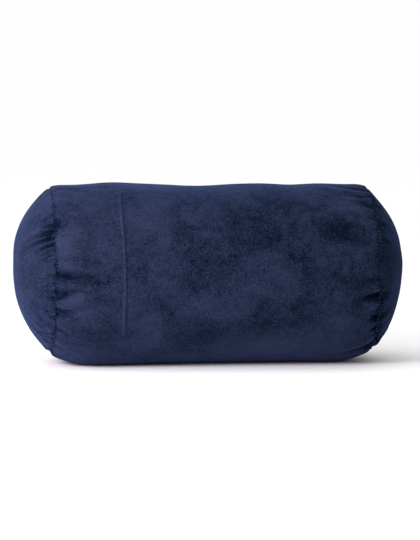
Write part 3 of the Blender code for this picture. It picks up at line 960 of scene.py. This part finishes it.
def stitch(start, end, lift, sink):
    """One stitch between two points: it rises out of the cloth, runs flat and dives again."""
    start, end, lift = np.asarray(start), np.asarray(end), np.asarray(lift)
    middle = [start + (end - start) * t + lift for t in (0.18, 0.5, 0.82)]
    return smooth_path([start - lift * sink, *middle, end - lift * sink], 2)


def make_topstitch(name, side):
    """Both the row that holds the tape and its share of the bar tacks at the zip's ends."""
    out = np.array([0, math.cos(ZIP_ANGLE), math.sin(ZIP_ANGLE)]) * 0.00018
    paths = []
    last = SLOT_HALF - 0.0005
    for i in range(int(2 * last / TOPSTITCH_PITCH)):
        x = -last + TOPSTITCH_PITCH * i
        drift = 0.00012 * math.sin(1.7 * i)
        span = (0.0002, TOPSTITCH_PITCH - 0.0005)
        ends = [at_zip(x + k, side * (TOPSTITCH_U + drift), 0.0001) for k in span]
        paths.append(stitch(*ends, out, 3.0))
    for end in (-1, 1):
        for row in range(5):
            x = end * (SLOT_HALF + 0.0012 + 0.00055 * row)
            wobble = 0.0003 * math.sin(2.1 * row)
            ends = [at_zip(x, side * u, 0.0001) for u in (0.0006, TOPSTITCH_U + wobble)]
            paths.append(stitch(*ends, out * 1.6, 2.0))
    return swept_object(name, paths, 0.00024)


# Stitches of the end seams


def seam_points(end, count):
    """Points round the valley between a cap and the tube."""
    angle = 2 * np.pi * (np.arange(count) + 0.5) / count
    cap = cap_surface(end)(np.full_like(angle, PANEL_R), angle)
    pull = stitch_pull(np.zeros_like(angle), angle * SEAM_R)
    inward = towards_axis(cap)
    return cap + inward * (0.0011 - 0.4 * pull)[:, None], inward


def make_seam_stitches(name, end):
    """Short stitches that show as dashes down in the seam."""
    per_stitch, shown = 8, 6
    count = round(2 * np.pi * SEAM_R / STITCH_PITCH) * per_stitch
    points, inward = seam_points(end, count)
    points = settle(points)
    paths = []
    for first in range(0, count, per_stitch):
        run = points[first : first + shown].copy()
        run[[0, -1]] += inward[first] * 0.0006
        paths.append(smooth_path(run, 2))
    return swept_object(name, paths, 0.0004)


# Inner pillow

LINER_HALF = 0.1455  # from the middle to the lining's own end seams
LINER_R, LINER_END_R = 0.081, 0.0665
LINER_BASE = 0.0022  # height of the lining's flat underside
LINER_DOME = (LINER_HALF + 0.0005, LINER_END_R, 0.028, 2.2)  # start, radius, depth, power
LINER_CLOTH = 0.0006
LINER_HEM = 0.93  # size of a turned-in edge, as a share of its rim
FILL_HALF, FILL_R, FILL_BASE = 0.166, 0.0790, 0.0034
INNER_SHOULDER = 0.024
INNER_SOFTNESS = 0.001  # how gently the underside goes flat


def inner_tube(s, angle, half, radius, end_radius, base):
    """A tube inside the cover, which follows the cover's folds."""
    x = s * half
    share = np.clip((np.abs(x) - half) / INNER_SHOULDER + 1, 0, 1) ** 2
    row = (s + 1) / 2 * SIM_ALONG
    _, dr, _ = sample(OFFSETS[0], row, angle / (2 * np.pi) * SIM_AROUND).T
    free = 1 - near_zip(x, angle)
    pucker = 0.35 * MM * waves(x, angle, 81, 14, 12, 40, 90.0) * (0.2 + share)
    swell = 0.5 * MM * waves(x, angle, 82, 12, 2, 6, 50.0)
    size = radius + (end_radius - radius) * share
    size += (0.8 * dr + lumps(x, angle) + pucker + swell - 0.6 * MM) * free
    centre = BODY_Z + (SEAM_Z - BODY_Z) * share
    z = centre + size * np.sin(angle)
    z = base + (z - base + np.sqrt((z - base) ** 2 + INNER_SOFTNESS**2)) / 2
    return np.stack([x, size * np.cos(angle), z], axis=1)


def liner_cap(end, share, angle):
    """A ring of a lining end panel. share is 0 at its middle and 1 at its rim."""
    start_x, radius, depth, power = LINER_DOME
    height = depth * (1 - share**power)
    pucker = 0.5 * MM * waves(share, angle, 83 + end, 12, 10, 36, 9.0) * share**4
    x = end * (start_x + height + pucker)
    size = radius * share
    return np.stack([x, size * np.cos(angle), SEAM_Z + size * np.sin(angle)], axis=1)


def liner_hem(rim):
    """The turned-in edge of a lining panel beside its rim."""
    return (rim - (0, 0, SEAM_Z)) * (1, LINER_HEM, LINER_HEM) + (0, 0, SEAM_Z)


def make_liner():
    along = 90
    angle = ring_angles(160)
    shape = (LINER_HALF, LINER_R, LINER_END_R, LINER_BASE)
    stations = np.linspace(-1, 1, along + 1)
    rows = [inner_tube(np.full_like(angle, s), angle, *shape) for s in stations]
    rows = [liner_hem(rows[0]), *rows, liner_hem(rows[-1])]
    wrap = new_object("liner_tube", rows_mesh("liner_tube", rows, True))
    pieces = [add_thickness(wrap, LINER_CLOTH)]
    for name, end in (("liner_cap_left", LEFT), ("liner_cap_right", RIGHT)):
        shares = np.linspace(1, 0.06, 34)
        rows = [liner_cap(end, np.full_like(angle, share), angle) for share in shares]
        rows.insert(0, liner_hem(rows[0]))
        tip = rows[-1].mean(axis=0)
        mesh = rows_mesh(name, rows, True, tip, flip=end == LEFT)
        pieces.append(add_thickness(new_object(name, mesh), LINER_CLOTH))
    return pieces


def make_closing_seam():
    """The hand-closed gap in the lining: a low ridge with slanting stitches over it."""
    low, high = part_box("liner_closing_seam")
    y, z = (low[1] + high[1]) / 2, (low[2] + high[2]) / 2
    paths = []
    for i in range(26):
        x = low[0] + 0.001 + (high[0] - low[0] - 0.004) * i / 25
        rise = 0.0003 if i % 2 else 0.0
        start, end = (x, y - 0.0003, z), (x + 0.0022, y + 0.0003, z + rise)
        paths.append(stitch(start, end, (0, 0, 0.0002), 1.0))
    ridge_x = np.linspace(low[0] + 0.0005, high[0] - 0.0005, 40)
    ridge_z = z - 0.0002 + 0.0001 * np.sin(ridge_x * 900)
    ridge = np.stack([ridge_x, np.full(40, y), ridge_z], axis=1)
    return swept_object("liner_closing_stitches", [ridge, *paths], 0.00022)


def make_filling():
    """One block of loose polyester fibre, fluffy and lumpy all over."""
    along = 96
    angle = ring_angles(150)
    rows = []
    for turn in np.linspace(-0.97, 0.97, along + 1):
        x = 0.164 * np.sign(turn) * abs(turn) ** 0.9
        share = (1 - abs(x / FILL_HALF) ** 4.5) ** 0.5
        s = np.full_like(angle, np.clip(x / LINER_HALF, -1, 1))
        row = inner_tube(s, angle, LINER_HALF, FILL_R, FILL_R, FILL_BASE)
        tufts = 1 - 0.008 + 0.006 * waves(np.full_like(angle, x), angle, 91, 18, 8, 40, 320.0)
        ring = np.stack([np.full_like(angle, x), row[:, 1] * share * tufts, row[:, 2]], axis=1)
        ring[:, 2] = SEAM_Z + (row[:, 2] - SEAM_Z) * share * np.minimum(tufts, 1.0)
        rows.append(ring)
    tip = rows[-1].mean(axis=0) + (0.0006, 0, 0)
    mesh = rows_mesh("fibre_block", rows, True, tip)
    bm = bmesh.new()
    bm.from_mesh(mesh)
    ends = [edge for edge in bm.edges if edge.is_boundary]
    bmesh.ops.holes_fill(bm, edges=ends, sides=0)
    bm.to_mesh(mesh)
    bm.free()
    return new_object("fibre_block", mesh)


def make_care_label():
    """A small woven label sewn in beside the upper tape, inside the cover."""
    low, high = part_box("care_label")
    count = 24
    x = np.linspace(low[0], high[0], count + 1)
    us = -np.linspace(0.0162, 0.046, count + 1)
    rows = []
    for i, u in enumerate(us):
        free = i / count
        height = -0.0029 - 0.00025 * free * np.sin(x * 260) - 0.0002 * free
        rows.append(at_zip(x, np.full_like(x, u), height))
    mesh = rows_mesh("care_label_sheet", rows, False)
    return add_thickness(new_object("care_label_sheet", mesh), 0.0003)


HALVES = (("upper", UPPER), ("lower", LOWER))
ENDS = (("left", LEFT), ("right", RIGHT))
coils = [make_coil(f"coil_{word}", side) for word, side in HALVES]
tapes = [make_tape(f"tape_{word}", side) for word, side in HALVES]
topstitches = [make_topstitch(f"topstitch_{word}", side) for word, side in HALVES]
for (word, side), coil, tape, topstitch in zip(HALVES, coils, tapes, topstitches):
    place(coil, "zip_coil", f"zip_coil_{word}")
    place(tape, "zip_tape", f"zip_tape_{word}")
    place(topstitch, "sewing_thread", f"zip_stitch_{word}")
    for piece in (coil, tape):
        anchor = at_zip(0.0, side * TAPE_OUTER, TAPE_TOP)
        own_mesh(piece)

seam_stitches = [make_seam_stitches(f"seam_stitches_{word}", end) for word, end in ENDS]
for (word, _), piece in zip(ENDS, seam_stitches):
    place(piece, "sewing_thread", f"end_seam_thread_{word}")

label = place(make_care_label(), "care_label", "care_label")
liner = make_liner()
for piece, node in zip(liner, ("liner_wrap", "liner_end_left", "liner_end_right")):
    place(piece, "lining", node, fill=0.9)
closing = place(make_closing_seam(), "lining_thread", "liner_closing_seam")
filling = place(make_filling(), "fibre_filling", "fibre_filling", fill=0.9)


# Finishes


class Finish:
    """A procedural material and short ways to add nodes to it."""

    def __init__(self, name, colour, roughness, specular=0.3, metallic=0.0):
        self.material = bpy.data.materials.new(name)
        self.material.use_nodes = True
        self.tree = self.material.node_tree
        self.shader = self.tree.nodes["Principled BSDF"]
        self.set("Base Color", (*colour, 1.0))
        self.set("Roughness", roughness)
        self.set("Specular IOR Level", specular)
        self.set("Metallic", metallic)
        self.place = self.tree.nodes.new("ShaderNodeTexCoord").outputs["Object"]

    def set(self, socket, value):
        self.shader.inputs[socket].default_value = value

    def link(self, output, socket):
        self.tree.links.new(output, socket)

    def noise(self, scale, detail=3.0, roughness=0.55, distortion=0.0):
        node = self.tree.nodes.new("ShaderNodeTexNoise")
        node.inputs["Scale"].default_value = scale
        node.inputs["Detail"].default_value = detail
        node.inputs["Roughness"].default_value = roughness
        node.inputs["Distortion"].default_value = distortion
        self.link(self.place, node.inputs["Vector"])
        return node.outputs["Fac"]

    def attribute(self, name):
        node = self.tree.nodes.new("ShaderNodeAttribute")
        node.attribute_name = name
        return node.outputs["Fac"]

    def maths(self, operation, a, b, c=0.0):
        node = self.tree.nodes.new("ShaderNodeMath")
        node.operation = operation
        for socket, value in zip(node.inputs, (a, b, c)):
            if isinstance(value, (int, float)):
                socket.default_value = value
            else:
                self.link(value, socket)
        return node.outputs[0]

    def shades(self, factor, low, high):
        """A colour between two, as factor goes from 0 to 1."""
        node = self.tree.nodes.new("ShaderNodeMix")
        node.data_type = "RGBA"
        node.inputs["A"].default_value = (*low, 1.0)
        node.inputs["B"].default_value = (*high, 1.0)
        self.link(factor, node.inputs["Factor"])
        self.link(node.outputs["Result"], self.shader.inputs["Base Color"])

    def bump(self, height, distance, strength=1.0):
        node = self.tree.nodes.new("ShaderNodeBump")
        node.inputs["Distance"].default_value = distance
        node.inputs["Strength"].default_value = strength
        self.link(height, node.inputs["Height"])
        self.link(node.outputs["Normal"], self.shader.inputs["Normal"])

    def dress(self, *objects):
        for obj in objects:
            obj.data.materials.clear()
            obj.data.materials.append(self.material)


# Each is (x, angle in degrees, length, width, turn in degrees, tone), otherwise in millimetres
NAP_PATCHES = [
    (-27, 133, 11, 9, 45, 0.9),
    (-29, 146, 12, 9, 0, -0.7),
    (-50, 200, 20, 7, 60, -0.8),
    (-21, 194, 17, 8, -45, 0.6),
    (-66, 237, 9, 7, 0, -0.8),
    (-51, 232, 9, 6, 0, -0.7),
    (-27, 231, 10, 7, 0, -0.6),
    (113, 147, 26, 16, 20, -0.7),
    (75, 152, 46, 20, 0, -0.45),
    (30, 150, 34, 20, 0, -0.25),
    (90, 226, 62, 20, 0, 0.5),
    (-137, 148, 15, 7, -20, 0.8),
    (-143, 160, 9, 13, 0, 0.5),
    (-133, 189, 18, 6, 0, 0.5),
    (-126, 177, 26, 4.5, 11, -0.8),
    (-120, 196, 18, 6, -8, 0.8),
    (-154, 139, 7, 17, 0, -1.0),
]
CREASE_HIGHLIGHT = 0.9  # painted highlight: how much lighter the ridge of a crease is made, for each millimetre
FOLD_SHADE = 0.42  # the same painted highlight for a fold's ridge, and painted shade in its valley
SEAM_SHADE = {LEFT: 1.6, RIGHT: 2.8}  # painted shade: how much darker the cloth is made along an end seam
CAP_SHADE = {LEFT: 1.0, RIGHT: 1.6}  # painted shade: how much darker an end panel is made than the tube beside it
CAP_BLEND = 0.008
UNDERSIDE_LIGHT = 1.5  # painted light from below: how much lighter the underside is made
TOPSIDE_LIGHT = 0.6  # painted light from above: how much lighter it is along the top
TONE_LIMIT = 3


def painted_fold_shading(x, angle, radius):
    """Painted shade in the folds' valleys and along the seam, and painted highlights on the
    ridges.
    """
    tone = np.zeros_like(x)
    for end in (LEFT, RIGHT):
        dome = np.interp(radius, *DOME_TABLES[end][::-1])
        tube_away = (1 - np.abs(x) / SEAM_X) * PANEL_HALF
        tube = fold_relief(ALL_TUBE_FOLDS[end], np.maximum(tube_away, 0), angle)
        cap = fold_relief(ALL_CAP_FOLDS[end], np.maximum(PANEL_R - dome, 0), angle)
        away = np.where(tube_away > 0, tube_away, PANEL_R - dome)
        relief = np.where(tube_away > 0, tube, cap) / MM
        beat = 0.5 + 0.5 * np.cos(2 * np.pi * angle * SEAM_R / STITCH_PITCH)
        seam = 1 - smooth_step(away, 0.8 * MM, (2.0 + 2.2 * beat) * MM)
        shade = FOLD_SHADE * np.clip(relief, -4.5, 2.5) - SEAM_SHADE[end] * (0.6 + 0.9 * beat) * seam
        tone += np.where(x * end > 0, shade, 0)
    return tone


def nap_and_painted_light_tone(points):
    """How dark (negative) or light (positive) the cloth is made: brushed nap and random tone,
    with painted shade and light.
    """
    x = points[:, 0]
    angle = np.arctan2(points[:, 2] - BODY_Z, points[:, 1]) % (2 * np.pi)
    radius = np.hypot(points[:, 1], points[:, 2] - SEAM_Z)
    ripple = 2.2 * MM * waves(x, angle, 61, 14, 6, 26, 260.0)
    # Random tone, and painted shade that darkens the cloth towards +X, away from the key light.
    tone = 0.22 * waves(x, angle, 62, 16, 2, 9, 70.0) - 0.45 * x / SEAM_X
    # Painted shade: the end panels darker than the tube beside them.
    for end in (RIGHT, LEFT):
        tone -= CAP_SHADE[end] * smooth_step(end * x, SEAM_X, SEAM_X + CAP_BLEND)
    for along, degrees, length, width, turn, value in NAP_PATCHES:
        a = x - along * MM + ripple
        b = wrap_angle(angle - math.radians(degrees)) * BODY_R + ripple
        c, s = math.cos(math.radians(turn)), math.sin(math.radians(turn))
        q = np.hypot((a * c + b * s) / (length * MM), (b * c - a * s) / (width * MM))
        tone += value * (1 - smooth_step(q, 0.65, 1.25))
    # Painted highlights on crease ridges, and painted shade and highlights at the folds and
    # seams.
    tone += CREASE_HIGHLIGHT * crease_relief(x, angle) / MM + painted_fold_shading(x, angle, radius)
    # Painted light along the top and on the underside.
    rise = np.sin(angle)
    tone += UNDERSIDE_LIGHT * smooth_step(-rise, 0.5, 0.98) + TOPSIDE_LIGHT * smooth_step(rise, 0.85, 1.0)
    return np.clip(tone, -TONE_LIMIT, TONE_LIMIT)


def add_nap_and_painted_light(obj):
    mesh = obj.data
    points = np.empty(len(mesh.vertices) * 3, "f4")
    mesh.vertices.foreach_get("co", points)
    tone = nap_and_painted_light_tone(points.reshape(-1, 3).astype(float))
    mesh.attributes.new("nap_and_painted_light", "FLOAT", "POINT").data.foreach_set("value", tone.astype("f4"))


def suede_finish():
    suede = Finish("navy_suede", (0.012, 0.019, 0.045), 0.95, 0.04)
    suede.set("Sheen Weight", 0.12)
    suede.set("Sheen Roughness", 0.45)
    suede.set("Sheen Tint", (0.20, 0.36, 1.0, 1.0))
    cloud = suede.noise(26.0, 5.0, 0.62, 0.5)
    fluff = suede.noise(150.0, 3.0, 0.6)
    grain = suede.noise(620.0, 3.0, 0.75)
    # The attribute holds the brushed nap's tone together with painted shade and light.
    tone = suede.maths("MULTIPLY_ADD", suede.attribute("nap_and_painted_light"), 0.24, 0.5)
    tone = suede.maths("ADD", tone, suede.maths("MULTIPLY_ADD", cloud, 1.5, -0.75))
    tone = suede.maths("ADD", tone, suede.maths("MULTIPLY_ADD", fluff, 0.7, -0.35))
    tone = suede.maths("ADD", tone, suede.maths("MULTIPLY_ADD", grain, 2.3, -1.15))
    suede.shades(tone, (0.0, 0.0029, 0.0095), (0.0208, 0.0275, 0.062))
    relief = suede.maths("MULTIPLY_ADD", fluff, 1.5, grain)
    suede.bump(relief, 0.0008, 0.7)
    return suede


for panel in cover:
    add_nap_and_painted_light(panel)
suede_finish().dress(*cover)


def two_shades(name, base, low, high, roughness, specular, noise, bump=None):
    """A finish in two shades of one colour. bump is the (distance, strength) of its grain."""
    finish = Finish(name, base, roughness, specular)
    grain = finish.noise(*noise)
    finish.shades(grain, low, high)
    if bump:
        finish.bump(grain, *bump)
    return finish


def metal_finish():
    metal = Finish("dark_metal", (0.19, 0.19, 0.20), 0.32, 0.5, 1.0)
    wear = metal.noise(240.0, 4.0, 0.6)
    metal.shades(wear, (0.15, 0.15, 0.165), (0.24, 0.24, 0.25))
    metal.link(metal.maths("MULTIPLY_ADD", wear, 0.22, 0.22), metal.shader.inputs["Roughness"])
    return metal


def navy(name, base, low, high, *rest):
    return two_shades(f"navy_{name}", base, low, high, *rest)


def cotton(name, low, high, scale):
    return two_shades(name, high, low, high, 0.9, 0.1, (scale, 3.0, 0.6), (0.0004, 0.6))


NAVY_BASE = (0.008, 0.012, 0.030)
thread_colours = (0.006, 0.009, 0.022), (0.006, 0.009, 0.024), (0.016, 0.022, 0.052)
coil_colours = NAVY_BASE, (0.006, 0.010, 0.025), (0.011, 0.016, 0.038)
tape_colours = NAVY_BASE, (0.005, 0.008, 0.020), (0.013, 0.018, 0.042)
thread = navy("thread", *thread_colours, 0.7, 0.2, (2600.0, 1.0))
thread.dress(*topstitches, *seam_stitches)
navy("nylon", *coil_colours, 0.38, 0.5, (400.0, 2.0)).dress(*coils)
navy("tape", *tape_colours, 0.85, 0.15, (1800.0, 2.0, 0.6), (0.0003, 0.8)).dress(*tapes)
stops = ["zip_top_stop_upper", "zip_top_stop_lower", "zip_bottom_stop"]
metal_nodes = [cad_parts[name] for name in (*stops, "zip_slider", "zip_pull_tab")]
metal_finish().dress(*metal_nodes)
cotton("label_satin", (0.62, 0.61, 0.58), (0.82, 0.81, 0.78), 1500.0).dress(label)
cotton("white_lining", (0.60, 0.59, 0.56), (0.78, 0.77, 0.74), 1100.0).dress(*liner)
cotton("lining_thread", (0.62, 0.61, 0.58), (0.84, 0.83, 0.80), 2400.0).dress(closing)
cotton("polyester_fibre", (0.74, 0.74, 0.73), (0.90, 0.90, 0.89), 320.0).dress(filling)


# Studio


def make_floor():
    bm = bmesh.new()
    bmesh.ops.create_grid(bm, x_segments=8, y_segments=8, size=60.0)
    mesh = bpy.data.meshes.new("floor")
    bm.to_mesh(mesh)
    bm.free()
    floor = new_object("floor", mesh)
    paint = Finish("pale_floor", (0.96, 0.96, 0.965), 0.9, 0.1)
    paint.dress(floor)
    return floor


def pointed(obj, place, way):
    """Puts a lamp or camera in its place, looking along way."""
    obj.location = place
    obj.rotation_euler = way.to_track_quat("-Z", "Y").to_euler()
    return obj


def make_light(name, place, aim, size, power, colour=(1.0, 1.0, 1.0)):
    light = bpy.data.lights.new(name, "AREA")
    light.energy = power
    light.size = size
    light.color = colour
    return pointed(new_object(name, light), place, Vector(aim) - Vector(place))


SKY_LEVEL = 0.50
SKY_TILT = (-0.42, 0.3, 0.80)  # how much brighter the sky is towards +X, +Y and +Z
CAMERA_AZIMUTH = math.radians(-7)
CAMERA_HEIGHT = math.radians(5)
CAMERA_DISTANCE = 3.3
CAMERA_LENS = 234.3
CAMERA_AIM = Vector((0.001, 0.0, 0.0862))


def make_camera():
    camera = bpy.data.cameras.new("camera")
    camera.sensor_width = 36.0
    camera.lens = CAMERA_LENS
    level = math.cos(CAMERA_HEIGHT)
    side, front = math.sin(CAMERA_AZIMUTH) * level, -math.cos(CAMERA_AZIMUTH) * level
    way = Vector((side, front, math.sin(CAMERA_HEIGHT)))
    place = CAMERA_AIM + way * CAMERA_DISTANCE
    bpy.context.scene.camera = pointed(new_object("camera", camera), place, -way)


def make_studio():
    scene = bpy.context.scene
    scene.view_settings.view_transform = "Standard"
    world = bpy.data.worlds.new("studio")
    scene.world = world
    world.use_nodes = True
    nodes, links = world.node_tree.nodes, world.node_tree.links
    sky = nodes["Background"]
    sky.inputs["Color"].default_value = (1.0, 1.0, 1.0, 1.0)
    last = nodes.new("ShaderNodeTexCoord").outputs["Generated"]
    for kind, operation, value in (
        ("ShaderNodeVectorMath", "DOT_PRODUCT", SKY_TILT),
        ("ShaderNodeMath", "ADD", SKY_LEVEL),
        ("ShaderNodeMath", "MAXIMUM", 0.0),
    ):
        node = nodes.new(kind)
        node.operation = operation
        node.inputs[1].default_value = value
        links.new(last, node.inputs[0])
        last = node.outputs["Value"]
    links.new(last, sky.inputs["Strength"])
    key = make_light("key", (-0.60, -0.50, 0.40), (-0.14, 0, 0.09), 0.36, 7.2, (1.0, 0.90, 0.97))
    make_light("fill", (-0.2, -1.5, 0.22), (0.05, 0, 0.05), 1.0, 4.5)
    make_floor()
    make_camera()


make_studio()
